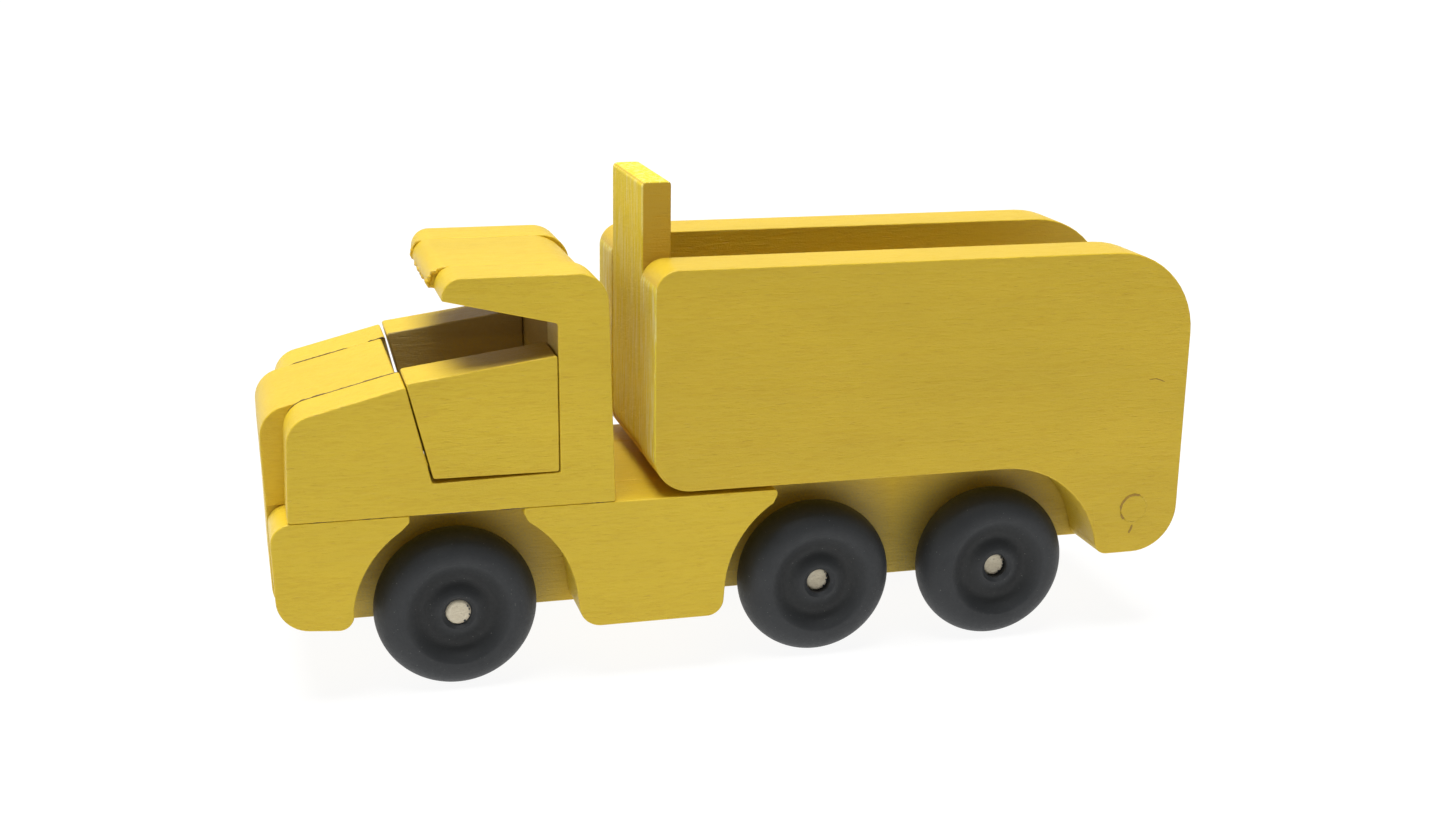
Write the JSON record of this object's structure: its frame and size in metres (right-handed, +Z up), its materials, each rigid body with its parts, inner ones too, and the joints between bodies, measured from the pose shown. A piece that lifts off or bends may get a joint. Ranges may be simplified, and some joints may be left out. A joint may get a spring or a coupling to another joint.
{
  "type": "toy dump truck",
  "caption": "Wooden toy dump truck with a hollow cab, dowel-hinged tipping bed, tall headboard and glued wheels turning on dowel axles.",
  "frame": {"origin": "centre of the truck's footprint on the ground, under the middle of its bounding box", "axes": "+X forward along the truck, +Y to its left side, +Z up; the wheels stand on z = 0"},
  "size_m": [0.299, 0.084, 0.1546],
  "materials": {
    "body_paint": "satin yellow paint over fine wood grain",
    "core_paint": "satin yellow paint over fine wood grain",
    "bed_paint": "satin yellow paint over fine wood grain",
    "dowel_wood": "bare sanded dowel",
    "wheel_paint": "satin black paint"
  },
  "bodies": {
    "truck": {"chassis_core": "core_paint", "front_skirt_left": "body_paint", "front_skirt_right": "body_paint", "mid_skirt_left": "body_paint", "mid_skirt_right": "body_paint", "hood_block": "core_paint", "cab_back_wall": "core_paint", "roof_block": "core_paint", "cab_side_left": "body_paint", "cab_side_right": "body_paint", "door_left": "body_paint", "door_right": "body_paint"},
    "bed": {"bed_floor": "bed_paint", "bed_headboard": "bed_paint", "bed_side_left": "bed_paint", "bed_side_right": "bed_paint", "bed_pivot_dowel": "bed_paint"},
    "front_axle": {"front_axle_dowel": "dowel_wood", "front_wheel_left": "wheel_paint", "front_wheel_right": "wheel_paint"},
    "middle_axle": {"middle_axle_dowel": "dowel_wood", "middle_wheel_left": "wheel_paint", "middle_wheel_right": "wheel_paint"},
    "rear_axle": {"rear_axle_dowel": "dowel_wood", "rear_wheel_left": "wheel_paint", "rear_wheel_right": "wheel_paint"}
  },
  "joints": [
    {"name": "bed_tilt", "type": "hinge", "parent": "truck", "child": "bed", "pos_m": [-0.1336, 0, 0.0432], "axis": [0, -1, 0], "range_deg": [0, 90]},
    {"name": "front_axle_spin", "type": "hinge", "parent": "truck", "child": "front_axle", "pos_m": [0.093, 0, 0.0254], "axis": [0, 1, 0], "continuous": true},
    {"name": "middle_axle_spin", "type": "hinge", "parent": "truck", "child": "middle_axle", "pos_m": [-0.024, 0, 0.0254], "axis": [0, 1, 0], "continuous": true},
    {"name": "rear_axle_spin", "type": "hinge", "parent": "truck", "child": "rear_axle", "pos_m": [-0.086, 0, 0.0254], "axis": [0, 1, 0], "continuous": true}
  ]
}
